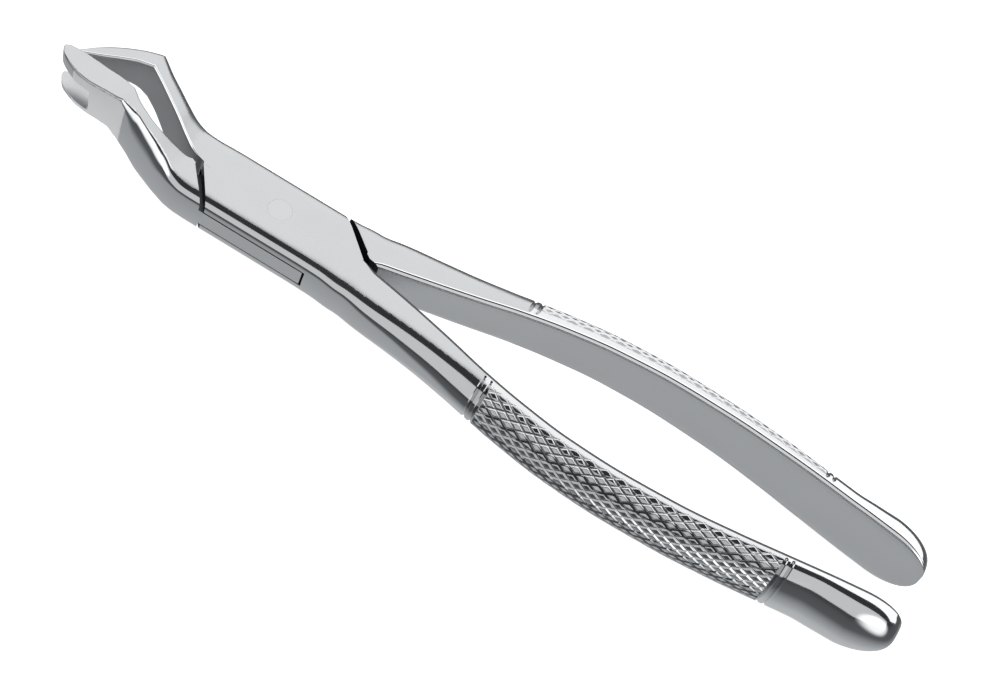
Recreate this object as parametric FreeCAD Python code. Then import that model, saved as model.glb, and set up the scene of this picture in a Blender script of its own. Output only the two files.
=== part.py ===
import FreeCAD, Part
import math
import os

# Dental extraction forceps with a box joint, millimetres.
# +X runs from the pivot to the beaks, +Z along the pivot, +Y towards the box arm's handle.
# The origin is on the pivot axis, on the underside of the box.

BOX_HEIGHT = 8.2
HANDLE_MID = 4.6
BOX_HALF_WIDTH = 7.7
BOX_FULLNESS = 5.0

# Box joint: two cheeks of the box arm with the male tongue between them.
CHEEK = 2.25
TONGUE_PLAY = 0.05
REST_OPENING = 5.5
SHOULDER_PLAY = 0.05
CROTCH_FRONT = (16.4, -0.5)
CHEEK_FRONT = (9.8, 9.2)
CROTCH_REAR = (-17.0, -0.5)
CHEEK_REAR = (-10.0, -7.3)
TONGUE_RELIEF = 0.7
WALL_FRONT = (9.0, -8.6)
WALL_REAR = (-9.4, 8.6)

RIVET_RADIUS = 2.3
RIVET_RUNNING = 0.03

# Handle stations: x, inner face, depth outwards, underside, top, fullness of the outer curve.
HANDLE_STATIONS = [
    (-9.0, -2.6, 10.2, 0.05, 8.15, 5.0),
    (-13.0, -1.2, 8.9, 0.02, 8.18, 5.0),
    (-17.0, -0.1, 8.2, 0.0, 8.2, 4.6),
    (-22.0, 1.0, 8.0, 0.1, 8.45, 4.2),
    (-30.0, 2.9, 7.6, 0.2, 8.8, 3.6),
    (-38.0, 5.0, 7.1, 0.1, 9.05, 3.0),
    (-46.5, 7.4, 6.8, -0.1, 9.3, 2.3),
    (-55.0, 9.3, 6.6, -0.35, 9.55, 2.1),
    (-65.0, 10.8, 6.4, -0.6, 9.8, 2.1),
    (-76.0, 11.4, 6.15, -0.95, 10.15, 2.1),
    (-87.0, 11.1, 5.95, -1.25, 10.45, 2.1),
    (-98.0, 10.1, 5.8, -1.6, 10.85, 2.1),
    (-108.0, 8.8, 5.5, -2.0, 11.2, 2.1),
    (-113.5, 8.0, 5.5, -2.1, 11.3, 2.1),
    (-118.0, 7.4, 6.0, -2.2, 11.4, 2.2),
    (-122.5, 6.8, 6.6, -2.2, 11.4, 2.3),
]
TAIL_END = -131.3
HANDLE_BEVEL = 0.42

# Grip rings: a pair of grooves at each end of the grip.
RING_GROOVES = [-47.1, -48.5, -107.6, -108.9]
RING_WIDTH = 0.6
RING_DEPTH = 0.35

# Jaw stations: x, then inner face, outer face, underside and top for the box arm and the male arm.
JAW_STATIONS = [
    (8.5, (0.0, 7.69, 0.01, 8.19), (-0.7, 7.69, 0.01, 8.19)),
    (11.0, (0.0, 7.7, 0.0, 8.2), (-0.6, 7.7, 0.0, 8.2)),
    (14.0, (-0.2, 7.64, 0.0, 8.2), (-0.5, 7.7, 0.0, 8.2)),
    (16.4, (-0.5, 7.45, 0.05, 8.3), (-0.3, 7.65, 0.05, 8.3)),
    (18.6, (-0.8, 7.15, 0.35, 8.9), (0.9, 7.5, 0.3, 9.0)),
    (21.0, (-1.2, 6.8, 1.5, 11.0), (2.0, 7.3, 1.2, 11.1)),
    (23.5, (-1.7, 6.8, 4.0, 13.7), (3.0, 7.3, 2.9, 13.7)),
    (26.0, (-2.2, 7.0, 7.1, 16.1), (3.6, 7.4, 5.0, 16.1)),
    (28.5, (-2.7, 7.2, 10.1, 18.4), (3.7, 7.5, 7.4, 18.4)),
    (30.8, (-3.1, 7.5, 12.1, 20.4), (3.0, 7.7, 9.9, 20.4)),
]
JAW_FULLNESS = 5.0
JAW_START = 11.0

# Beak stations: x, inner face, outer face, underside, top.
MALE_BEAK = [
    (30.8, 3.0, 7.7, 9.9, 20.4),
    (33.5, 2.5, 7.8, 11.5, 20.4),
    (36.5, 2.2, 7.8, 11.6, 20.2),
    (39.5, 1.8, 7.4, 11.4, 20.0),
    (42.5, 1.5, 6.1, 11.2, 19.8),
    (44.6, 1.5, 4.3, 11.1, 19.6),
    (45.6, 1.9, 2.9, 11.1, 19.5),
]
BOX_BEAK = [
    (30.8, -3.1, -7.5, 12.1, 20.4),
    (33.5, -3.2, -7.2, 12.8, 19.5),
    (36.5, -2.6, -6.4, 13.2, 18.6),
    (39.5, -1.7, -5.1, 13.7, 17.7),
    (42.5, -0.9, -3.1, 14.3, 16.8),
    (44.4, -0.5, -1.3, 14.9, 16.2),
]
BEAK_LEAN = 5.0

# Slot that splits the male beak into two prongs.
SLOT_ROOT = 36.8
SLOT_LOW = 13.3
SLOT_HIGH = 18.1


def signed_power(value, exponent):
    return math.copysign(abs(round(value, 12)) ** exponent, value)


def outer_curve(x, inner, depth, low, high, fullness, steps=12):
    """Rounded outer side of a section, from its top edge round to its bottom edge."""
    middle = (low + high) / 2
    half = (high - low) / 2
    points = []
    for step in range(steps + 1):
        angle = math.pi / 2 - math.pi * step / steps
        y = inner + depth * signed_power(math.cos(angle), 2 / fullness)
        z = middle + half * signed_power(math.sin(angle), 2 / fullness)
        points.append(FreeCAD.Vector(x, y, z))
    curve = Part.BSplineCurve()
    curve.interpolate(Points=points, Parameters=[step / steps for step in range(steps + 1)])
    return curve.toShape()


def section(x, inner, outer, low, high, fullness, bevel):
    """Closed section across the arm: flat inner face, two small bevels and a rounded outer side."""
    side = 1 if outer > inner else -1
    depth = abs(outer - inner)
    inner_low = FreeCAD.Vector(x, 0, low + bevel)
    inner_high = FreeCAD.Vector(x, 0, high - bevel)
    top = FreeCAD.Vector(x, bevel, high)
    bottom = FreeCAD.Vector(x, bevel, low)
    edges = [
        Part.makeLine(inner_low, inner_high),
        Part.makeLine(inner_high, top),
        outer_curve(x, bevel, depth - bevel, low, high, fullness),
        Part.makeLine(bottom, inner_low),
    ]
    wire = Part.Wire(edges)
    if side < 0:
        wire = wire.mirror(FreeCAD.Vector(), FreeCAD.Vector(0, 1, 0))
    wire.translate(FreeCAD.Vector(0, inner, 0))
    return wire


def between(stations, x):
    """Station values at x, taken in a straight line between the two nearest stations."""
    rows = sorted(stations)
    for near, far in zip(rows, rows[1:]):
        if near[0] <= x <= far[0]:
            share = (x - near[0]) / (far[0] - near[0])
            return [a + share * (b - a) for a, b in zip(near, far)]
    raise ValueError(x)


def handle(side):
    """Handle from the box to its rounded tail, on the +Y side (1) or the -Y side (-1)."""
    wires = []
    for x, inner, depth, low, high, fullness in HANDLE_STATIONS:
        wires.append(section(x, side * inner, side * (inner + depth), low, high, fullness, HANDLE_BEVEL))
    body = Part.makeLoft(wires, True, False)
    return body.fuse(tail(side)).removeSplitter()


def tail(side):
    """Rounded end of the handle: sections that shrink along a quarter ellipse."""
    x0, inner, depth, low, high, fullness = HANDLE_STATIONS[-1]
    wires = []
    for angle in (0, 20, 38, 53, 66, 76, 83):
        turn = math.radians(angle)
        x = x0 + (TAIL_END - x0) * math.sin(turn)
        half = (high - low) / 2 * math.cos(turn) ** 0.8
        thick = depth * (0.15 + 0.85 * math.cos(turn) ** 0.6)
        start = inner + 0.12 * (x - x0) + 0.15 * (depth - thick)
        bevel = HANDLE_BEVEL * math.cos(turn)
        wires.append(section(x, side * start, side * (start + thick),
                             HANDLE_MID - half, HANDLE_MID + half, fullness, bevel))
    return Part.makeLoft(wires, True, False)


def ring_cutters(side):
    """Grooves round the outer side of the handle at each end of the grip."""
    cutters = []
    for x in RING_GROOVES:
        sheets = []
        for edge in (x - RING_WIDTH / 2, x + RING_WIDTH / 2):
            _, inner, depth, low, high, fullness = between(HANDLE_STATIONS, edge)
            outer = inner + depth - RING_DEPTH
            sheets.append(section(edge, side * (inner - 1.5), side * outer,
                                  low + RING_DEPTH, high - RING_DEPTH, fullness, 0.8))
        core = Part.makeLoft(sheets, True, True)
        block = Part.makeBox(RING_WIDTH, 12, 30, FreeCAD.Vector(x - RING_WIDTH / 2, 0, HANDLE_MID - 15))
        block.translate(FreeCAD.Vector(0, side * (inner + 6.2) - 6, 0))
        cutters.append(block.cut(core))
    return cutters


def jaw(side):
    """Rising jaw between the box and the bend: box arm on the -Y side, male arm on the +Y side."""
    wires = []
    for x, box_side, male_side in JAW_STATIONS:
        inner, outer, low, high = male_side if side > 0 else box_side
        wires.append(section(x, inner, side * outer, low, high, JAW_FULLNESS, 0.15))
    return Part.makeLoft(wires, True, False)


def beak(stations):
    """Beak ahead of the bend; past its first section it leans down a little."""
    wires = []
    for x, inner, outer, low, high in stations:
        wire = section(x, inner, outer, low, high, JAW_FULLNESS, 0.15)
        if wires:
            wire.rotate(FreeCAD.Vector(x, 0, high), FreeCAD.Vector(0, 1, 0), BEAK_LEAN)
        wires.append(wire)
    return Part.makeLoft(wires, True, False)


def prong_slot():
    """Slot with small root radii, open at the tips, that leaves two prongs."""
    middle = (SLOT_HIGH + SLOT_LOW) / 2
    slot = Part.makeBox(20, 20, SLOT_HIGH - SLOT_LOW, FreeCAD.Vector(SLOT_ROOT, -5, SLOT_LOW))
    slot = slot.makeFillet(0.6, [edge for edge in slot.Edges if edge.BoundBox.XMax < SLOT_ROOT + 1
                                 and edge.BoundBox.YLength > 10])
    slot.rotate(FreeCAD.Vector(SLOT_ROOT, 0, middle), FreeCAD.Vector(0, 1, 0), BEAK_LEAN)
    return slot


def jaw_corner(side):
    """Front corner of the box on one side, where the jaw's own surface takes over from the box's."""
    return Part.makeBox(20, 20, 30, FreeCAD.Vector(JAW_START, 0.6 if side > 0 else -20.6, -10))


def box_block():
    """Full-width body of the box joint, before the arms are parted."""
    near = outer_curve(0, 0, BOX_HALF_WIDTH, 0, BOX_HEIGHT, BOX_FULLNESS)
    far = near.mirror(FreeCAD.Vector(), FreeCAD.Vector(0, 1, 0))
    face = Part.Face(Part.Wire([near, far]))
    face.translate(FreeCAD.Vector(-18.5, 0, 0))
    return face.extrude(FreeCAD.Vector(18.5 + CROTCH_FRONT[0], 0, 0))


def prism(outline, low, high):
    points = [FreeCAD.Vector(x, y, low) for x, y in outline]
    face = Part.Face(Part.makePolygon(points + points[:1]))
    return face.extrude(FreeCAD.Vector(0, 0, high - low))


def line_point(start, end, share):
    return (start[0] + share * (end[0] - start[0]), start[1] + share * (end[1] - start[1]))


def ahead_of_cheeks():
    """Region in front of the cheeks' slanted front edge."""
    far = line_point(CHEEK_FRONT, CROTCH_FRONT, 1.0)
    near = line_point(CROTCH_FRONT, CHEEK_FRONT, 1.6)
    return prism([far, (200, -60), (200, 60), (near[0], 60), near], -5, 40)


def behind_cheeks():
    """Region behind the cheeks' slanted rear edge."""
    near = line_point(CHEEK_REAR, CROTCH_REAR, 1.17)
    far = line_point(CROTCH_REAR, CHEEK_REAR, 1.6)
    return prism([near, (-200, 60), (-200, -60), (far[0], -60), far], -5, 40)


def tongue_region(play, relief):
    """Plan of the passage between the cheeks; the tongue is the same plan less its play and end relief."""
    front_out = line_point(CROTCH_FRONT, WALL_FRONT, 1.6)
    rear_out = line_point(CROTCH_REAR, WALL_REAR, 1.6)
    return [
        (CROTCH_FRONT[0] - play, CROTCH_FRONT[1] + play),
        (front_out[0] - play - relief, front_out[1] + play),
        (front_out[0] - play - relief, -30),
        (-40, -30),
        (-40, CROTCH_REAR[1]),
        (CROTCH_REAR[0] + play, CROTCH_REAR[1] - play),
        (rear_out[0] + play + relief, rear_out[1] - play),
        (rear_out[0] + play + relief, 30),
        (40, 30),
        (40, CROTCH_FRONT[1]),
    ]


def turned(shape, degrees):
    moved = shape.copy()
    moved.rotate(FreeCAD.Vector(), FreeCAD.Vector(0, 0, 1), degrees)
    return moved


def bore(radius):
    return Part.makeCylinder(radius, BOX_HEIGHT + 20, FreeCAD.Vector(0, 0, -10))


def box_arm():
    """Arm with the box: single pointed beak, two cheeks and the +Y handle."""
    handle_body = handle(1)
    for cutter in ring_cutters(1):
        handle_body = handle_body.cut(cutter)
    block = box_block().cut(ahead_of_cheeks()).cut(behind_cheeks()).cut(jaw_corner(-1))
    passage = prism(tongue_region(0, 0), CHEEK, BOX_HEIGHT - CHEEK)
    body = block.fuse([jaw(-1), beak(BOX_BEAK), handle_body])
    return body.cut(passage).cut(bore(RIVET_RADIUS)).removeSplitter()


def male_arm():
    """Arm that passes through the box: two-pronged beak, tongue and the -Y handle."""
    handle_body = handle(-1)
    for cutter in ring_cutters(-1):
        handle_body = handle_body.cut(cutter)
    front = turned(ahead_of_cheeks(), REST_OPENING)
    rear = turned(behind_cheeks(), REST_OPENING)
    jaw_body = jaw(1).fuse(beak(MALE_BEAK)).cut(prong_slot())
    block = box_block().cut(jaw_corner(1).common(front))
    layer = prism(tongue_region(SHOULDER_PLAY, TONGUE_RELIEF),
                  CHEEK + TONGUE_PLAY, BOX_HEIGHT - CHEEK - TONGUE_PLAY)
    tongue = block.common(turned(layer, REST_OPENING))
    body = tongue.fuse([jaw_body.common(front), handle_body.common(rear)])
    return body.cut(bore(RIVET_RADIUS + RIVET_RUNNING)).removeSplitter()


def rivet_pin():
    """Rivet through both cheeks and the tongue, dressed flush with the cheeks."""
    return Part.makeCylinder(RIVET_RADIUS, BOX_HEIGHT)


os.makedirs("parts", exist_ok=True)
for name, build in (("box_arm", box_arm), ("male_arm", male_arm), ("rivet_pin", rivet_pin)):
    shape = build()
    if len(shape.Solids) != 1:
        raise RuntimeError(name + " is not one solid")
    shape.Solids[0].exportStep("parts/" + name + ".step")
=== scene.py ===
import math

import bmesh
import bpy
import numpy as np
from mathutils import Matrix, Vector


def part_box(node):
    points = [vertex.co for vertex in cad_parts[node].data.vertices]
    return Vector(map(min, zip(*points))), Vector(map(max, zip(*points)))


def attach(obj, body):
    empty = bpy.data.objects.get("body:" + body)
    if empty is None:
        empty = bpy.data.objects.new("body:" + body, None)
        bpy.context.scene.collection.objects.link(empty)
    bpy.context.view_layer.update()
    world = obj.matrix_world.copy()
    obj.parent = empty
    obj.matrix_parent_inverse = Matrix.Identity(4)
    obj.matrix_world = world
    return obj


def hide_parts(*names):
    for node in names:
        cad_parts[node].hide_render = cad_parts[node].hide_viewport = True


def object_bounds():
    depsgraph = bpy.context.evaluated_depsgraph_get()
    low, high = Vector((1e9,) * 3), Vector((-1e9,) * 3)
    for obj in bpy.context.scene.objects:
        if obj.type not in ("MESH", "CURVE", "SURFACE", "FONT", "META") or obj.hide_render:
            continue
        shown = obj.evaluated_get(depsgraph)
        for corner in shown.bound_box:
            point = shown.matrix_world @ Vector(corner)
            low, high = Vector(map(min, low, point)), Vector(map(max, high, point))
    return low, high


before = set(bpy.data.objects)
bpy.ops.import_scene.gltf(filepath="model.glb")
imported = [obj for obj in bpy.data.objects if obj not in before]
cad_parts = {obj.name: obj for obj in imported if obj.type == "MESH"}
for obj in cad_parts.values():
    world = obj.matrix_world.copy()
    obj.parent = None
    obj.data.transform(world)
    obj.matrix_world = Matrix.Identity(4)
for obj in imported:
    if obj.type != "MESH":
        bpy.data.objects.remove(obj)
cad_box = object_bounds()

# Dental extraction forceps. The outlines below are in millimetres, in the frame's axes.
# MM turns them to metres.
MM = 0.001

pin_low, pin_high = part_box("rivet_pin")
BOX_HEIGHT = (pin_high.z - pin_low.z) / MM
PIN_RADIUS = (pin_high.x - pin_low.x) / 2 / MM

# The tail's last section is drawn a little short of TAIL_END, which makes up for it by TAIL_MARGIN.
TAIL_MARGIN = 0.06
TAIL_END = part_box("box_arm")[0].x / MM - TAIL_MARGIN

# Box joint.
BOX_HALF_WIDTH = 7.7
CHEEK = 2.25
TONGUE_PLAY = 0.25
REST_OPENING = 5.5
SHOULDER_PLAY = 0.05
TONGUE_RELIEF = 0.7
SHOULDER_RELIEF = 1.2
FRONT_GROOVE = 0.8
REAR_GROOVE = 0.35
CROTCH_FRONT = (16.4, -0.5)
CHEEK_FRONT = (9.8, 9.2)
CROTCH_REAR = (-17.0, -0.5)
CHEEK_REAR = (-10.0, -7.3)
WALL_FRONT = (9.0, -8.6)
WALL_REAR = (-9.4, 8.6)
TONGUE_CORNER_FRONT = 10.87
TONGUE_CORNER_REAR = -9.95
RIVET_PLAY = 0.03
RIVET_CHAMFER = 0.02
RIVET_STEPS = 96
BORE_STEPS = 64

# Cutting tools: the length of a slanted cut for an edge of 1, and the tools' lowest and highest points.
CUT_REACH = 1.6
REAR_CUT_REACH = 1.17
CUT_MARGIN = 2
CUT_LOW = -5
CUT_HIGH = 40

# Rear half of an arm: x, inner face, depth outwards, underside, top, fullness of the outer curve.
REAR = [
    (17.0, 0.0, 7.7, 0.06, 8.33, 5.7),
    (14.0, 0.0, 7.7, 0.0, 8.2, 5.7),
    (8.0, 0.0, 7.7, 0.0, 8.2, 5.7),
    (0.0, 0.0, 7.7, 0.0, 8.2, 5.7),
    (-6.0, 0.0, 7.7, 0.0, 8.2, 5.7),
    (-12.0, 0.0, 7.8, 0.0, 8.2, 5.7),
    (-17.0, 0.0, 8.3, 0.0, 8.2, 5.2),
    (-22.0, 1.0, 8.25, 0.1, 8.45, 4.4),
    (-30.0, 2.9, 7.65, 0.2, 8.8, 3.7),
    (-38.0, 5.0, 7.1, 0.1, 9.05, 3.0),
    (-46.5, 7.4, 6.8, -0.1, 9.3, 2.3),
    (-55.0, 9.3, 6.6, -0.35, 9.55, 2.1),
    (-65.0, 10.8, 6.4, -0.6, 9.8, 2.1),
    (-76.0, 11.4, 6.13, -0.95, 10.15, 2.1),
    (-87.0, 11.1, 5.95, -1.25, 10.45, 2.1),
    (-98.0, 10.1, 5.8, -1.6, 10.85, 2.1),
    (-108.0, 8.8, 5.5, -2.0, 11.2, 2.1),
    (-113.5, 8.0, 5.5, -2.1, 11.3, 2.1),
    (-118.0, 7.4, 6.0, -2.2, 11.4, 2.2),
    (-122.5, 6.8, 6.6, -2.2, 11.4, 2.3),
]
TAIL_START = REAR[-1][0]
TAIL_LAST_TURN = 83
TAIL_TURNS = 48
HANDLE_EDGE = 0.92
EDGE_POINTS = 10
FLAT_POINTS = 9
BODY_START = 17.0
BODY_STEP = 0.35
BODY_POINTS = 90
TAIL_STEP = 0.3
TAIL_POINTS = 110

# Grip: ring grooves at each end and the knurling between them.
RINGS = [-47.1, -48.5, -107.6, -108.9]
RING_HALF_WIDTH = 0.38
RING_DEPTH = 0.34
RING_STEPS = 7
KNURL_PITCH = 3.13
KNURL_ANGLE = math.radians(26.5)
KNURL_HALF_WIDTH = 0.32
KNURL_DEPTH = 0.22
KNURL_TOP_BAND = (1.0, 0.45)
KNURL_LOW_BAND = 0.5
KNURL_RUN_OUT = 1.3
KNURL_MARGIN = 0.45
KNURL_STEPS = 24
GRIP_POINTS = 290

# Front half of each arm: x, inner face, outer face, underside, top.
BOX_FRONT = [
    (-18.5, 0.0, 7.7, 0.0, 8.2),
    (-5.0, 0.0, 7.7, 0.0, 8.2),
    (5.0, 0.0, 7.7, 0.0, 8.2),
    (11.0, 0.0, 7.7, 0.0, 8.2),
    (14.0, 0.0, 7.64, 0.0, 8.2),
    (16.05, 0.0, 7.47, 0.04, 8.29),
    (16.4, -0.5, 7.45, 0.05, 8.3),
    (18.6, -0.8, 7.15, 0.35, 8.9),
    (21.0, -1.2, 6.8, 1.5, 11.0),
    (23.5, -1.7, 6.8, 4.0, 13.7),
    (26.0, -2.2, 7.0, 7.1, 16.1),
    (28.5, -2.7, 7.2, 10.1, 18.4),
    (30.8, -3.1, 7.5, 12.1, 20.4),
]
MALE_FRONT = [
    (-18.5, 0.0, 7.7, 0.0, 8.2),
    (-5.0, 0.0, 7.7, 0.0, 8.2),
    (5.0, 0.0, 7.7, 0.0, 8.2),
    (11.0, 0.0, 7.7, 0.0, 8.2),
    (14.0, -0.1, 7.7, 0.0, 8.2),
    (16.4, -0.3, 7.65, 0.05, 8.3),
    (18.6, 0.9, 7.5, 0.3, 9.0),
    (21.0, 2.0, 7.3, 1.2, 11.1),
    (23.5, 3.0, 7.3, 2.9, 13.7),
    (26.0, 3.6, 7.4, 5.0, 16.1),
    (28.5, 3.7, 7.35, 7.7, 18.4),
    (30.8, 3.0, 7.4, 10.4, 20.4),
]
BOX_BEAK = [
    (30.8, -3.1, 7.5, 12.1, 20.4),
    (33.5, -3.2, 7.2, 12.8, 19.5),
    (36.5, -2.6, 6.4, 13.2, 18.6),
    (39.5, -1.7, 5.1, 13.7, 17.7),
    (42.5, -0.9, 3.1, 14.3, 16.8),
    (44.4, -0.5, 1.3, 14.9, 16.2),
]
MALE_BEAK = [
    (30.8, 3.0, 7.4, 10.4, 20.4),
    (33.5, 2.5, 7.5, 11.9, 20.4),
    (36.5, 2.2, 7.5, 12.1, 20.2),
    (39.5, 1.8, 7.1, 11.9, 20.0),
    (42.5, 1.5, 5.8, 11.5, 19.8),
    (44.6, 1.5, 4.3, 11.1, 19.6),
    (45.6, 1.9, 2.9, 11.1, 19.5),
]
JAW_FULLNESS = 5.7
BEAK_CORNER = 0.1
JAW_CORNER = 0.62
JAW_POINTS = 110
JAW_STEP = 0.3
BEAK_STEPS = 52
SIDE_CROWN = 0.2
JAW_EDGE = 0.45
BEAK_LEAN = math.radians(5)
LEAN_LENGTH = 2.7
SLOT_ROOT = 36.8
SLOT_LOW = 13.3
SLOT_HIGH = 18.1
SLOT_CORNER = 0.6

# Gradual changes: the place where each starts and the length over which it grows.
HANDLE_EDGE_RISE = (-16.8, -4)
JAW_EDGE_RISE = (CROTCH_FRONT[0], 3)
JAW_RISE = (17, 6)
BEAK_RISE = (27.5, 4.5)
RING_RISE = (0.1, 0.9)
CORNER_RISE = (0.42, 0.25)


# ---------- curves and sections ----------

def smooth_rise(share):
    share = np.clip(share, 0, 1)
    return share * share * (3 - 2 * share)


def risen(place, rise):
    """How far a gradual change has come at a place, from 0 to 1."""
    start, length = rise
    return smooth_rise((place - start) / length)


def along(table, x):
    """Each column of a station table at the places x, on a curve that never overshoots its stations."""
    rows = np.array(sorted(table))
    stations, values = rows[:, 0], rows[:, 1:]
    step = np.diff(stations)[:, None]
    slope = np.diff(values, axis=0) / step
    tangent = np.zeros_like(values)
    same_way = slope[:-1] * slope[1:] > 0
    weight_near = 2 * step[1:] + step[:-1]
    weight_far = step[1:] + 2 * step[:-1]
    with np.errstate(divide="ignore", invalid="ignore"):
        blended = (weight_near + weight_far) / (weight_near / slope[:-1] + weight_far / slope[1:])
    tangent[1:-1] = np.where(same_way, blended, 0)
    tangent[0], tangent[-1] = slope[0], slope[-1]
    x = np.clip(x, stations[0], stations[-1])
    near = np.clip(np.searchsorted(stations, x, side="right") - 1, 0, len(stations) - 2)
    width = step[near]
    share = ((x - stations[near]) / width[:, 0])[:, None]
    return (
        (1 + 2 * share) * (1 - share) ** 2 * values[near]
        + share * (1 - share) ** 2 * width * tangent[near]
        + share**2 * (3 - 2 * share) * values[near + 1]
        + share**2 * (share - 1) * width * tangent[near + 1]
    )


def corner_share(fullness):
    """How much of a section its elliptical corners take: all of it at a fullness of 2."""
    return (2 - 2 ** ((fullness - 1) / fullness)) / (2 - math.sqrt(2))


def corner_height(share):
    """Height of a corner for its width: low on the box, taller where the section grows round."""
    return 0.9 + 0.3 * risen(share, CORNER_RISE)


def outer_line(depth, low, high, shares, count, fine=None):
    """Outer side of a section, flat with elliptical corners: y, z and the distance from the top edge.

    shares are those of the top and bottom corners. The points are even, or the first 80% of them
    are a distance of fine apart.
    """
    half = (high - low) / 2
    turn = np.linspace(0, math.pi / 2, 400)
    y, z = [[0]], [[half]]
    for share, sign in zip(shares, (1, -1)):
        tall = min(1.0, share * corner_height(share))
        corner_y = depth * (1 - share + share * np.sin(turn))
        corner_z = sign * half * (1 - tall + tall * np.cos(turn))
        y.append(corner_y[::sign])
        z.append(corner_z[::sign])
    y = np.concatenate(y + [[0]])
    z = np.concatenate(z + [[-half]])
    run = np.concatenate([[0], np.cumsum(np.hypot(np.diff(y), np.diff(z)))])
    steps = np.linspace(0, run[-1], count)
    if fine:
        fixed = int(0.8 * count)
        rest = np.linspace((fixed - 1) * fine, run[-1], count - fixed + 1)[1:]
        steps = np.concatenate([np.arange(fixed) * fine, rest])
    y, z = np.interp(steps, run, y), np.interp(steps, run, z)
    y = y - SIDE_CROWN * (y / depth) ** 4 * (z / half) ** 2
    return y, (low + high) / 2 + z, steps


def ring_groove(x, distance, length):
    """Depth of the ring grooves at one x; they run out beside the flat's edges."""
    across = max(max(0.0, 1 - abs(x - ring) / RING_HALF_WIDTH) for ring in RINGS)
    ends = np.minimum(distance, length - distance)
    return RING_DEPTH * across * risen(ends, RING_RISE)


def knurl(x, distance, length):
    """Depth of two crossing families of V grooves, which run out beside the top and bottom edges."""
    if not RINGS[2] + KNURL_MARGIN < x < RINGS[1] - KNURL_MARGIN:
        return np.zeros_like(distance)
    top_band = np.interp(-x, [-RINGS[1], -RINGS[2]], KNURL_TOP_BAND)
    run_out = np.clip((distance - top_band) / KNURL_RUN_OUT, 0, 1)
    run_out = np.minimum(run_out, np.clip(length - distance - KNURL_LOW_BAND, 0, 1))
    deepest = np.zeros_like(distance)
    for way in (1, -1):
        place = (x + way * distance / math.tan(KNURL_ANGLE)) / KNURL_PITCH
        away = np.abs(place - np.round(place)) * KNURL_PITCH * math.sin(KNURL_ANGLE)
        cut = KNURL_DEPTH * (run_out - away / KNURL_HALF_WIDTH)
        deepest = np.maximum(deepest, cut)
    return deepest


def close_section(y, z, inner, edge, low, high):
    """Closes an outer line with the flat inner face and the two rounded edges beside it."""
    turn = np.radians(np.linspace(0, 90, EDGE_POINTS + 2))[1:-1]
    under = inner + edge * (1 - np.sin(turn)), low + edge * (1 - np.cos(turn))
    over = inner + edge * (1 - np.cos(turn)), high - edge * (1 - np.sin(turn))
    flat = np.linspace(low + edge, high - edge, FLAT_POINTS)
    y = np.concatenate([y, under[0], np.full(FLAT_POINTS, inner), over[0]])
    z = np.concatenate([z, under[1], flat, over[1]])
    return y, z


def rear_section(x, side, values, bevel, count, knurled):
    """One section of the rear half: flat inner face with rounded edges, and rounded outer side."""
    inner, depth, low, high, fullness = values
    fine = KNURL_PITCH * math.tan(KNURL_ANGLE) / KNURL_STEPS if knurled else None
    shares = [corner_share(fullness)] * 2
    y, z, distance = outer_line(depth - bevel, low, high, shares, count, fine)
    tangent_y, tangent_z = np.gradient(y, distance), np.gradient(z, distance)
    size = np.hypot(tangent_y, tangent_z)
    depth_cut = ring_groove(x, distance, distance[-1])
    if knurled:
        depth_cut = np.maximum(depth_cut, knurl(x, distance, distance[-1]))
    y = y + inner + bevel + depth_cut * tangent_z / size
    z = z - depth_cut * tangent_y / size
    y, z = close_section(y, z, inner, bevel, low, high)
    return np.stack([np.full_like(y, x), side * y, z], axis=1)


def rear_values(x):
    """Section values along the handle, through its rounded tail."""
    values = along(REAR, x)
    bevel = HANDLE_EDGE * risen(x, HANDLE_EDGE_RISE)
    past = x < TAIL_START
    turn = np.arcsin(np.clip((x[past] - TAIL_START) / (TAIL_END - TAIL_START), 0, 1))
    inner, depth, low, high = REAR[-1][1:5]
    thick = depth * (0.15 + 0.85 * np.cos(turn) ** 0.6)
    half = (high - low) / 2 * np.cos(turn) ** 0.8
    values[past, 0] = inner + 0.12 * (x[past] - TAIL_START) + 0.15 * (depth - thick)
    values[past, 1] = thick
    values[past, 2] = (low + high) / 2 - half
    values[past, 3] = (low + high) / 2 + half
    bevel[past] = HANDLE_EDGE * np.cos(turn)
    return values, bevel


def front_section(x, side, values, lean):
    """One section of a jaw or beak: nearly flat sides and rounded outer corners."""
    inner, outer, low, high = values
    bevel = JAW_EDGE * risen(x, JAW_EDGE_RISE)
    share = corner_share(JAW_FULLNESS)
    on_jaw, on_beak = risen(x, JAW_RISE), risen(x, BEAK_RISE)
    top_share = share + (JAW_CORNER - share) * on_jaw
    beak_share = BEAK_CORNER if side > 0 else share
    top_share += (beak_share - top_share) * on_beak
    under_share = share + (beak_share - share) * on_beak
    inner = -inner if side < 0 else inner
    y, z, _ = outer_line(outer - inner - bevel, low, high, (top_share, under_share), JAW_POINTS)
    y, z = close_section(y + inner + bevel, z, inner, bevel, low, high)
    points = np.stack([np.full_like(y, x), side * y, z], axis=1)
    if lean:
        drop = points[:, 2] - high
        points[:, 0] = x + drop * math.sin(lean)
        points[:, 2] = high + drop * math.cos(lean)
    return points


# ---------- materials ----------

# The darker patches of a steel have this share of its colour.
PATCH_SHADE = 0.96


def node(tree, kind, **inputs):
    """New shader node with the given input values; an underscore stands for a space."""
    made = tree.nodes.new(kind)
    for key, value in inputs.items():
        made.inputs[key.replace("_", " ")].default_value = value
    return made


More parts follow.
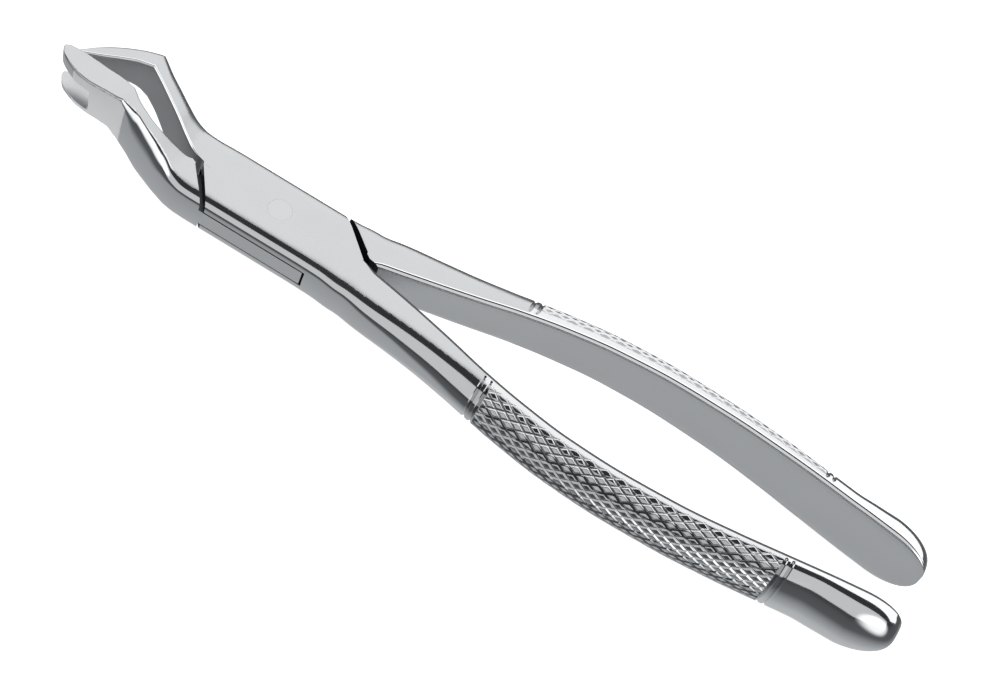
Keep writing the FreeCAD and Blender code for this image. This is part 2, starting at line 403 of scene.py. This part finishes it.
def steel(name, color, rough_low, rough_high, grain_scale, grain_height):
    """Steel whose roughness wanders a little, with fine grain in its surface."""
    material = bpy.data.materials.new(name)
    material.use_nodes = True
    tree = material.node_tree
    shader = tree.nodes["Principled BSDF"]
    shader.inputs["Metallic"].default_value = 1.0
    place = tree.nodes.new("ShaderNodeTexCoord")
    patches = node(tree, "ShaderNodeTexNoise", Scale=160.0, Detail=4.0)
    tree.links.new(place.outputs["Object"], patches.inputs["Vector"])
    rough = tree.nodes.new("ShaderNodeMapRange")
    rough.inputs["From Min"].default_value = 0.3
    rough.inputs["From Max"].default_value = 0.7
    rough.inputs["To Min"].default_value = rough_low
    rough.inputs["To Max"].default_value = rough_high
    tree.links.new(patches.outputs["Fac"], rough.inputs["Value"])
    tree.links.new(rough.outputs["Result"], shader.inputs["Roughness"])
    tint = tree.nodes.new("ShaderNodeMix")
    tint.data_type = "RGBA"
    tint.inputs[6].default_value = (*[part * PATCH_SHADE for part in color], 1)
    tint.inputs[7].default_value = (*color, 1)
    tree.links.new(patches.outputs["Fac"], tint.inputs[0])
    tree.links.new(tint.outputs[2], shader.inputs["Base Color"])
    grain = node(tree, "ShaderNodeTexNoise", Scale=grain_scale, Detail=3.0)
    tree.links.new(place.outputs["Object"], grain.inputs["Vector"])
    bump = tree.nodes.new("ShaderNodeBump")
    bump.inputs["Strength"].default_value = 1.0
    bump.inputs["Distance"].default_value = grain_height
    tree.links.new(grain.outputs["Fac"], bump.inputs["Height"])
    tree.links.new(bump.outputs["Normal"], shader.inputs["Normal"])
    return material


polished = steel("polished_steel", (0.70, 0.71, 0.72), 0.07, 0.12, 3000.0, 0.0000004)
satin = steel("satin_steel", (0.485, 0.495, 0.505), 0.24, 0.32, 5000.0, 0.000003)
# Lighter copy of the rough steel, with a brushed roughness: painted light on the handles' inner faces,
# the tongue's sides and the male arm's sides at the joint.
brushed_lit = steel("brushed_lit_steel", (0.80, 0.81, 0.82), 0.36, 0.44, 6000.0, 0.000005)
# Darker copy of the same rough steel: painted shade on the jaws' inner faces.
matte_shaded = steel("matte_shaded_steel", (0.50, 0.51, 0.52), 0.42, 0.50, 6000.0, 0.000008)
# Near-black steel: painted shade in the joint's gaps, grooves and bore, and a painted darker line along
# the box arm handle's upper inner edge.
painted_shade = steel("painted_shade_steel", (0.09, 0.095, 0.10), 0.40, 0.50, 6000.0, 0.000005)
frosted = steel("frosted_steel", (0.79, 0.80, 0.81), 0.36, 0.44, 6000.0, 0.000005)
frosted.node_tree.nodes["Principled BSDF"].inputs["Metallic"].default_value = 0.6
grip = steel("grip_steel", (0.62, 0.63, 0.64), 0.15, 0.21, 3000.0, 0.000001)
knurled = steel("knurled_steel", (0.58, 0.59, 0.60), 0.06, 0.10, 3000.0, 0.000001)
# Darker copy of the knurled steel: painted shade on the male arm's knurled faces that turn away towards
# -Y.
knurl_shade = steel("shaded_knurled_steel", (0.34, 0.35, 0.36), 0.26, 0.34, 5000.0, 0.000003)
# Lighter copy of the polished steel: a painted highlight line along upper inner edges.
edge_highlight = steel("highlight_edge_steel", (0.86, 0.87, 0.88), 0.06, 0.10, 3000.0, 0.0000004)
rivet_head = steel("rivet_steel", (0.50, 0.51, 0.52), 0.26, 0.34, 5000.0, 0.000003)
finishes_used = (
    polished, satin, brushed_lit, matte_shaded, painted_shade, frosted,
    grip, knurled, knurl_shade, edge_highlight, rivet_head,
)
POLISHED, SATIN, BRUSHED_LIT, MATTE_SHADED, PAINTED_SHADE, FROSTED, GRIP, KNURLED, KNURL_SHADE, EDGE_HIGHLIGHT, RIVET = range(11)


# ---------- mesh tools ----------

def new_piece(name, points, faces):
    mesh = bpy.data.meshes.new(name)
    mesh.from_pydata((np.asarray(points) * MM).tolist(), [], faces)
    for material in finishes_used:
        mesh.materials.append(material)
    piece = bpy.data.objects.new(name, mesh)
    bpy.context.scene.collection.objects.link(piece)
    return piece


def tidy_mesh(piece):
    """Merges points that fall together and turns every face outwards."""
    work = bmesh.new()
    work.from_mesh(piece.data)
    bmesh.ops.remove_doubles(work, verts=work.verts, dist=1e-6)
    bmesh.ops.dissolve_degenerate(work, edges=work.edges, dist=1e-7)
    bmesh.ops.recalc_face_normals(work, faces=work.faces)
    work.to_mesh(piece.data)
    work.free()


def loft(name, sections, flat_from, flat_finish, edge_finish):
    """Closed mesh through sections of equal point count.

    The strips of the flat face, from flat_from on, get flat_finish, and the upper inner edge after them
    gets edge_finish. Each square is split so that groove edges stay straight: along the diagonal whose
    ends are more nearly as far from the middle of their sections.
    """
    points = np.array(sections)
    rings, around = points.shape[:2]
    number = np.arange(rings * around).reshape(rings, around)
    after = np.roll(number, -1, axis=1)
    a, b, c, d = number[:-1], after[:-1], after[1:], number[1:]
    level = np.linalg.norm(points - points.mean(axis=1, keepdims=True), axis=2).ravel()
    one_way = (np.abs(level[a] - level[c]) < np.abs(level[b] - level[d])).ravel()
    a, b, c, d = a.ravel(), b.ravel(), c.ravel(), d.ravel()
    first = np.where(one_way[:, None], np.stack([a, b, c], axis=1), np.stack([a, b, d], axis=1))
    second = np.where(one_way[:, None], np.stack([a, c, d], axis=1), np.stack([b, c, d], axis=1))
    faces = first.tolist() + second.tolist()
    faces += [number[0].tolist(), number[-1].tolist()]
    piece = new_piece(name, points.reshape(-1, 3), faces)
    strip = np.tile(np.arange(around), rings - 1)
    flat = np.where(strip >= flat_from + FLAT_POINTS - 1, edge_finish, flat_finish)
    flat = np.where(strip >= flat_from, flat, POLISHED)
    finishes = np.concatenate([flat, flat, [POLISHED, POLISHED]])
    piece.data.polygons.foreach_set("material_index", finishes.astype(np.int32))
    tidy_mesh(piece)
    return piece


def block_faces(count):
    """Faces of a block that has count corners at each end: both ends, then the sides."""
    faces = [list(range(count)), list(range(count, 2 * count))]
    for spot in range(count):
        after = (spot + 1) % count
        faces.append((spot, after, count + after, count + spot))
    return faces


def prism(name, outline, low, high, finish=PAINTED_SHADE):
    """Upright block with ends of painted shade, and the given finish on its sides, painted shade unless
    another is given; the faces it cuts into an arm keep it, in the joint's gaps, grooves and bore.
    """
    points = [(x, y, low) for x, y in outline] + [(x, y, high) for x, y in outline]
    count = len(outline)
    piece = new_piece(name, points, block_faces(count))
    piece.data.polygons.foreach_set("material_index", [PAINTED_SHADE, PAINTED_SHADE] + [finish] * count)
    tidy_mesh(piece)
    return piece


def combine(piece, tool, operation):
    """Joins or cuts piece with tool, then removes tool."""
    change = piece.modifiers.new("combine", "BOOLEAN")
    change.operation = operation
    change.solver = "EXACT"
    change.object = tool
    depsgraph = bpy.context.evaluated_depsgraph_get()
    made = bpy.data.meshes.new_from_object(piece.evaluated_get(depsgraph))
    piece.modifiers.clear()
    piece.data = made
    bpy.data.objects.remove(tool)
    return piece


def turn_about_pivot(piece, degrees):
    piece.data.transform(Matrix.Rotation(math.radians(degrees), 4, "Z"))
    return piece


def line_point(start, end, share):
    return (start[0] + share * (end[0] - start[0]), start[1] + share * (end[1] - start[1]))


# ---------- the arms ----------

def rear_places(x_from, x_to, step):
    """Places of the sections: even steps, with closer ones at the ring grooves and round a tail's end."""
    places = [place * step for place in range(math.ceil(x_to / step), math.floor(x_from / step) + 1)]
    places += [x_from, x_to]
    for ring in RINGS:
        places += [ring + shift for shift in np.linspace(-RING_HALF_WIDTH, RING_HALF_WIDTH, RING_STEPS)]
    if x_to < TAIL_START:
        places = [x for x in places if x > TAIL_START]
        turns = np.radians(np.linspace(0, TAIL_LAST_TURN, TAIL_TURNS))
        places += list(TAIL_START + (TAIL_END - TAIL_START) * np.sin(turns))
    places = [x for x in places if x < TAIL_START or x_to - 1e-6 <= x <= x_from + 1e-6]
    return np.unique(np.round(places, 4))


def rear_half(name, side, x_from, x_to, step, count=BODY_POINTS, knurled=False):
    """Stretch of the rear half between two places."""
    places = rear_places(x_from, x_to, step)
    sections = []
    for x, row, bevel in zip(places, *rear_values(places)):
        sections.append(rear_section(x, side, row, bevel, count, knurled))
    # Inner faces get the lighter steel, painted light; the upper inner edge gets painted shade, a
    # near-black line, on the box arm and a painted highlight on the male arm.
    return loft(name, sections, count + EDGE_POINTS, BRUSHED_LIT, PAINTED_SHADE if side > 0 else EDGE_HIGHLIGHT)


def front_half(name, side, jaw_table, beak_table):
    """Front half of an arm: box side, rising jaw and beak."""
    bend = jaw_table[-1]
    places = np.concatenate([[-18.5, -5, 5], np.arange(10, bend[0], JAW_STEP)])
    sections = [front_section(x, side, row, 0) for x, row in zip(places, along(jaw_table, places))]
    sections.append(front_section(bend[0], side, bend[1:], 0))
    places = np.linspace(bend[0], beak_table[-1][0], BEAK_STEPS)[1:]
    for x, row in zip(places, along(beak_table, places)):
        lean = BEAK_LEAN * risen(x, (bend[0], LEAN_LENGTH))
        sections.append(front_section(x, side, row, lean))
    # Inner faces get the darker rough steel, painted shade; the upper inner edge gets a painted highlight
    # on the box arm's jaw.
    return loft(name, sections, JAW_POINTS + EDGE_POINTS, MATTE_SHADED, EDGE_HIGHLIGHT if side < 0 else POLISHED)


def ahead_of_cheeks():
    """Region in front of the cheeks' slanted front edge."""
    near = line_point(CROTCH_FRONT, CHEEK_FRONT, CUT_REACH)
    outline = [CROTCH_FRONT, (200, -60), (200, 60), (near[0], 60), near]
    return prism("ahead", outline, CUT_LOW, CUT_HIGH)


def behind_cheeks():
    """Region behind the cheeks' slanted rear edge."""
    near = line_point(CHEEK_REAR, CROTCH_REAR, REAR_CUT_REACH)
    far = line_point(CROTCH_REAR, CHEEK_REAR, CUT_REACH)
    outline = [near, (-200, 60), (-200, -60), (far[0], -60), far]
    return prism("behind", outline, CUT_LOW, CUT_HIGH)


def cut_shoulder(piece, crotch, outside, opening):
    """Opens a groove between a shoulder and the cheeks, wider further out and half as wide underneath."""
    end = line_point(crotch, outside, CUT_REACH)
    way = math.copysign(1, opening)
    margin = CUT_MARGIN * way
    under = (CUT_LOW, CHEEK + TONGUE_PLAY, 0.5)
    over = (BOX_HEIGHT - CHEEK - TONGUE_PLAY, CUT_HIGH, 1)
    for low, high, share in (under, over):
        edge = crotch[0] + share * opening
        outline = [
            (crotch[0] - margin, crotch[1] - margin),
            (edge, crotch[1] - margin),
            (edge, crotch[1]),
            (end[0] + share * SHOULDER_RELIEF * way, end[1]),
            (end[0] - margin, end[1]),
        ]
        groove = prism("groove", outline, low, high)
        combine(piece, turn_about_pivot(groove, REST_OPENING), "DIFFERENCE")


def tongue_region(name, low, high, play, relief):
    """Passage between the cheeks; the tongue has the same plan less its play and end relief."""
    front_out = line_point(CROTCH_FRONT, WALL_FRONT, CUT_REACH)
    rear_out = line_point(CROTCH_REAR, WALL_REAR, CUT_REACH)
    outline = [
        (CROTCH_FRONT[0] - play, CROTCH_FRONT[1] + play),
        (front_out[0] - play - relief, front_out[1] + play),
        (front_out[0] - play - relief, -30),
        (-40, -30),
        (-40, CROTCH_REAR[1]),
        (CROTCH_REAR[0] + play, CROTCH_REAR[1] - play),
        (rear_out[0] + play + relief, rear_out[1] - play),
        (rear_out[0] + play + relief, 30),
        (40, 30),
        (40, CROTCH_FRONT[1]),
    ]
    return prism(name, outline, low, high)


def tongue():
    """Middle layer of the male arm between the cheeks, flush with the box's sides."""
    wide = BOX_HALF_WIDTH
    front, rear = CROTCH_FRONT[0], CROTCH_REAR[0]
    outline = [
        (front, -wide),
        (front, 2),
        (TONGUE_CORNER_FRONT, wide),
        (rear, wide),
        (rear, -2),
        (TONGUE_CORNER_REAR, -wide),
    ]
    low, high = CHEEK + TONGUE_PLAY, BOX_HEIGHT - CHEEK - TONGUE_PLAY
    # The tongue's sides get the lighter steel, painted light.
    plan = prism("tongue", outline, low, high, BRUSHED_LIT)
    layer = tongue_region("layer", low - 1, high + 1, SHOULDER_PLAY, TONGUE_RELIEF)
    return combine(plan, turn_about_pivot(layer, REST_OPENING), "INTERSECT")


def bore(radius):
    turns = [math.tau * step / BORE_STEPS for step in range(BORE_STEPS)]
    return prism("bore", [(radius * math.cos(a), radius * math.sin(a)) for a in turns], -10, 30)


def prong_slot():
    """Slot with small root radii and a satin floor, open at the tips."""
    middle = (SLOT_LOW + SLOT_HIGH) / 2
    half = (SLOT_HIGH - SLOT_LOW) / 2
    corner = SLOT_CORNER
    outline = [(20, -half), (20, half)]
    for sign, start in ((1, 90), (-1, 180)):
        for turn in range(0, 91, 15):
            angle = math.radians(start + turn)
            x = corner + corner * math.cos(angle)
            z = sign * (half - corner) + corner * math.sin(angle)
            outline.append((x, z))
    points = [(x, -5, z) for x, z in outline] + [(x, 15, z) for x, z in outline]
    faces = block_faces(len(outline))
    slot = new_piece("slot", points, faces)
    slot.data.polygons.foreach_set("material_index", [SATIN] * len(faces))
    tidy_mesh(slot)
    slot.data.transform(Matrix.Rotation(BEAK_LEAN, 4, "Y"))
    slot.data.transform(Matrix.Translation(Vector((SLOT_ROOT, 0, middle)) * MM))
    return slot


def box_arm_body():
    near = rear_half("box_arm_body", 1, BODY_START, RINGS[0], BODY_STEP)
    combine(near, ahead_of_cheeks(), "DIFFERENCE")
    far = front_half("far", -1, BOX_FRONT, BOX_BEAK)
    combine(far, behind_cheeks(), "DIFFERENCE")
    arm = combine(near, far, "UNION")
    combine(arm, tongue_region("passage", CHEEK, BOX_HEIGHT - CHEEK, 0, 0), "DIFFERENCE")
    return combine(arm, bore(PIN_RADIUS), "DIFFERENCE")


def male_arm_body():
    far = rear_half("male_arm_body", -1, BODY_START, RINGS[0], BODY_STEP)
    combine(far, turn_about_pivot(behind_cheeks(), REST_OPENING), "INTERSECT")
    cut_shoulder(far, CROTCH_REAR, CHEEK_REAR, -REAR_GROOVE)
    near = front_half("near", 1, MALE_FRONT, MALE_BEAK)
    combine(near, turn_about_pivot(ahead_of_cheeks(), REST_OPENING), "INTERSECT")
    cut_shoulder(near, CROTCH_FRONT, CHEEK_FRONT, FRONT_GROOVE)
    combine(near, prong_slot(), "DIFFERENCE")
    arm = combine(far, tongue(), "UNION")
    combine(arm, near, "UNION")
    return combine(arm, bore(PIN_RADIUS + RIVET_PLAY), "DIFFERENCE")


def rivet():
    """Turned rivet with a small chamfer round each dressed head."""
    chamfer = RIVET_CHAMFER
    profile = [
        (0.0, 0.0),
        (PIN_RADIUS - chamfer, 0.0),
        (PIN_RADIUS, chamfer),
        (PIN_RADIUS, BOX_HEIGHT - chamfer),
        (PIN_RADIUS - chamfer, BOX_HEIGHT),
        (0.0, BOX_HEIGHT),
    ]
    points = []
    for step in range(RIVET_STEPS):
        angle = math.tau * step / RIVET_STEPS
        points += [(r * math.cos(angle), r * math.sin(angle), z) for r, z in profile]
    count = len(profile)
    faces = []
    for step in range(RIVET_STEPS):
        a, b = step * count, (step + 1) % RIVET_STEPS * count
        for spot in range(count - 1):
            faces.append((a + spot, b + spot, b + spot + 1, a + spot + 1))
    piece = new_piece("rivet", points, faces)
    tidy_mesh(piece)
    return piece


# Finishes of the polished faces, by place and by how far a face is level or turned sideways.
LEVEL = 0.978
# Knurled faces that turn towards -Y and are less level than this get painted shade.
LEVEL_KNURL_SHADE = 0.985
LEVEL_ROLLED = 0.45
BEAK_FROM = 30
BEAK_SIDEWAYS = 0.9
TONGUE_REACH = (-16, 11)
TONGUE_SIDEWAYS = 0.96
SHARP_ANGLE = math.radians(28)


def finish_surface(piece):
    """Smooth shading with crisp edges, and a finish for each polished face by where it is; knurled faces
    of the male arm's grip that turn towards -Y and are not nearly level get painted shade.
    """
    mesh = piece.data
    box_side = "box_arm" in piece.name
    tongue_rear, tongue_front = TONGUE_REACH
    for face in mesh.polygons:
        if face.material_index != POLISHED:
            continue
        x, y, normal = face.center.x / MM, face.center.y / MM, face.normal
        rolls_away = normal.y < 0 and not (x < CROTCH_REAR[0] and box_side)
        level = math.hypot(normal.x, normal.z) if normal.z > 0 else 0
        # Knurled faces of the male arm's grip that turn towards -Y get painted shade.
        if "grip" in piece.name and rolls_away and level < LEVEL_KNURL_SHADE:
            face.material_index = KNURL_SHADE
        elif "grip" in piece.name:
            face.material_index = GRIP if level > LEVEL else KNURLED
        elif piece.name == "rivet":
            face.material_index = RIVET
        elif x > RINGS[0] and level > (LEVEL_ROLLED if rolls_away else LEVEL):
            face.material_index = SATIN
        elif x > BEAK_FROM and abs(normal.y) > BEAK_SIDEWAYS:
            face.material_index = FROSTED
        # Sides of the male arm at the box joint that face +Y get the lighter steel, painted light.
        elif not box_side and tongue_rear < x < tongue_front and y > 0 and normal.y > TONGUE_SIDEWAYS:
            face.material_index = BRUSHED_LIT
    mesh.shade_smooth()
    mesh.set_sharp_from_angle(angle=SHARP_ANGLE)


BODIES = {"box_arm": "box_side", "male_arm": "male_side", "rivet_pin": "box_side"}


def add_to_object(piece, cad_node):
    finish_surface(piece)
    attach(piece, BODIES[cad_node])
    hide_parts(cad_node)


add_to_object(box_arm_body(), "box_arm")
add_to_object(male_arm_body(), "male_arm")
grip_middle = (RINGS[0] + RINGS[2]) / 2
grip_step = KNURL_PITCH / KNURL_STEPS
for arm, side in (("box_arm", 1), ("male_arm", -1)):
    for part, start, end in (("front", RINGS[0], grip_middle), ("rear", grip_middle, RINGS[2])):
        grip_part = rear_half(f"{arm}_grip_{part}", side, start, end, grip_step, GRIP_POINTS, True)
        add_to_object(grip_part, arm)
    add_to_object(rear_half(arm + "_tail", side, RINGS[2], TAIL_END, TAIL_STEP, TAIL_POINTS), arm)
add_to_object(rivet(), "rivet_pin")


# ---------- stage, lights and camera ----------

centre = (cad_box[0] + cad_box[1]) / 2

# Surroundings from straight down to straight up: a place between 0 and 1, and the colour there.
SURROUNDINGS = [
    (0.03, (0.60, 0.61, 0.62, 1)),
    (0.1, (0.47, 0.48, 0.49, 1)),
    (0.18, (0.36, 0.37, 0.38, 1)),
    (0.32, (0.12, 0.125, 0.13, 1)),
    (0.5, (0.10, 0.105, 0.11, 1)),
    (0.65, (0.04, 0.042, 0.045, 1)),
]
GLOW_DIRECTION = (-0.74, 0.62, 0.26)
GLOW_EDGE = math.radians(30)
GLOW_CORE = math.radians(12)
GLOW_STRENGTH = 1.3


def floor():
    """Plain pale floor that the forceps lie on."""
    half = 3.0
    gap = 0.0001
    low = cad_box[0].z - gap
    points = [(-half, -half, low), (half, -half, low), (half, half, low), (-half, half, low)]
    piece = new_piece("floor", np.array(points) / MM, [(0, 1, 2, 3)])
    material = bpy.data.materials.new("pale_floor")
    material.use_nodes = True
    shader = material.node_tree.nodes["Principled BSDF"]
    shader.inputs["Base Color"].default_value = (0.9, 0.9, 0.9, 1)
    shader.inputs["Roughness"].default_value = 0.9
    shader.inputs["Emission Color"].default_value = (1, 1, 1, 1)
    shader.inputs["Emission Strength"].default_value = 0.75
    piece.data.materials.clear()
    piece.data.materials.append(material)
    piece.visible_glossy = False


def softbox(name, elevation, span, distance, length, radiance):
    """Soft area light above the forceps; elevation is measured from +Y up and over to -Y."""
    angle = math.radians(elevation)
    height = 2 * distance * math.tan(math.radians(span / 2))
    light = bpy.data.lights.new(name, "AREA")
    light.shape = "RECTANGLE"
    light.size = length
    light.size_y = height
    light.energy = radiance * math.pi * length * height
    lamp = bpy.data.objects.new(name, light)
    bpy.context.scene.collection.objects.link(lamp)
    back = Vector((0, math.cos(angle), math.sin(angle)))
    lamp.location = centre + distance * back
    across = Vector((1, 0, 0))
    up = back.cross(across)
    lamp.rotation_euler = Matrix((across, up, back)).transposed().to_euler()
    lamp.visible_camera = False


def studio():
    """Two long softboxes, surroundings that darken upwards, and a soft glow beyond the handles' ends.

    The glow whitens the near corner of the rising jaw.
    """
    softbox("back_softbox", elevation=141, span=70, distance=0.9, length=6.0, radiance=1.40)
    softbox("front_softbox", elevation=45, span=58, distance=0.9, length=4.4, radiance=0.70)
    world = bpy.data.worlds.new("studio")
    bpy.context.scene.world = world
    world.use_nodes = True
    tree = world.node_tree
    place = tree.nodes.new("ShaderNodeTexCoord")
    split = tree.nodes.new("ShaderNodeSeparateXYZ")
    tree.links.new(place.outputs["Generated"], split.inputs["Vector"])
    shift = tree.nodes.new("ShaderNodeMapRange")
    shift.inputs["From Min"].default_value = -1
    shift.inputs["From Max"].default_value = 1
    tree.links.new(split.outputs["Z"], shift.inputs["Value"])
    ramp = tree.nodes.new("ShaderNodeValToRGB")
    stops = ramp.color_ramp.elements
    for height, color in SURROUNDINGS[1:-1]:
        stops.new(height).color = color
    stops[0].position, stops[0].color = SURROUNDINGS[0]
    stops[-1].position, stops[-1].color = SURROUNDINGS[-1]
    tree.links.new(shift.outputs["Result"], ramp.inputs["Fac"])
    toward_glow = tree.nodes.new("ShaderNodeVectorMath")
    toward_glow.operation = "DOT_PRODUCT"
    toward_glow.inputs[1].default_value = Vector(GLOW_DIRECTION).normalized()
    tree.links.new(place.outputs["Generated"], toward_glow.inputs[0])
    glow = tree.nodes.new("ShaderNodeMapRange")
    glow.interpolation_type = "SMOOTHSTEP"
    glow.inputs["From Min"].default_value = math.cos(GLOW_EDGE)
    glow.inputs["From Max"].default_value = math.cos(GLOW_CORE)
    glow.inputs["To Max"].default_value = GLOW_STRENGTH
    tree.links.new(toward_glow.outputs["Value"], glow.inputs["Value"])
    total = tree.nodes.new("ShaderNodeVectorMath")
    tree.links.new(ramp.outputs["Color"], total.inputs[0])
    tree.links.new(glow.outputs["Result"], total.inputs[1])
    tree.links.new(total.outputs["Vector"], tree.nodes["Background"].inputs["Color"])


def camera():
    """Camera beyond the +Y side, looking down; it is rolled so that the forceps lie across the frame."""
    azimuth, elevation, roll = math.radians(-174.997), math.radians(51.291), math.radians(27.308)
    aim = Vector((-45.612, 0.558, 8.2)) * MM
    distance = 384.97 * MM
    level = math.cos(elevation)
    back = Vector((math.sin(azimuth) * level, -math.cos(azimuth) * level, math.sin(elevation)))
    right = Vector((0, 0, 1)).cross(back).normalized()
    up = back.cross(right)
    rolled_right = math.cos(roll) * right + math.sin(roll) * up
    rolled_up = math.cos(roll) * up - math.sin(roll) * right
    data = bpy.data.cameras.new("camera")
    data.lens = 78.84
    data.sensor_width = 36
    data.clip_start = 0.01
    eye = bpy.data.objects.new("camera", data)
    bpy.context.scene.collection.objects.link(eye)
    eye.rotation_euler = Matrix((rolled_right, rolled_up, back)).transposed().to_euler()
    eye.location = aim + distance * back
    bpy.context.scene.camera = eye


floor()
studio()
camera()
bpy.context.scene.view_settings.view_transform = "Standard"
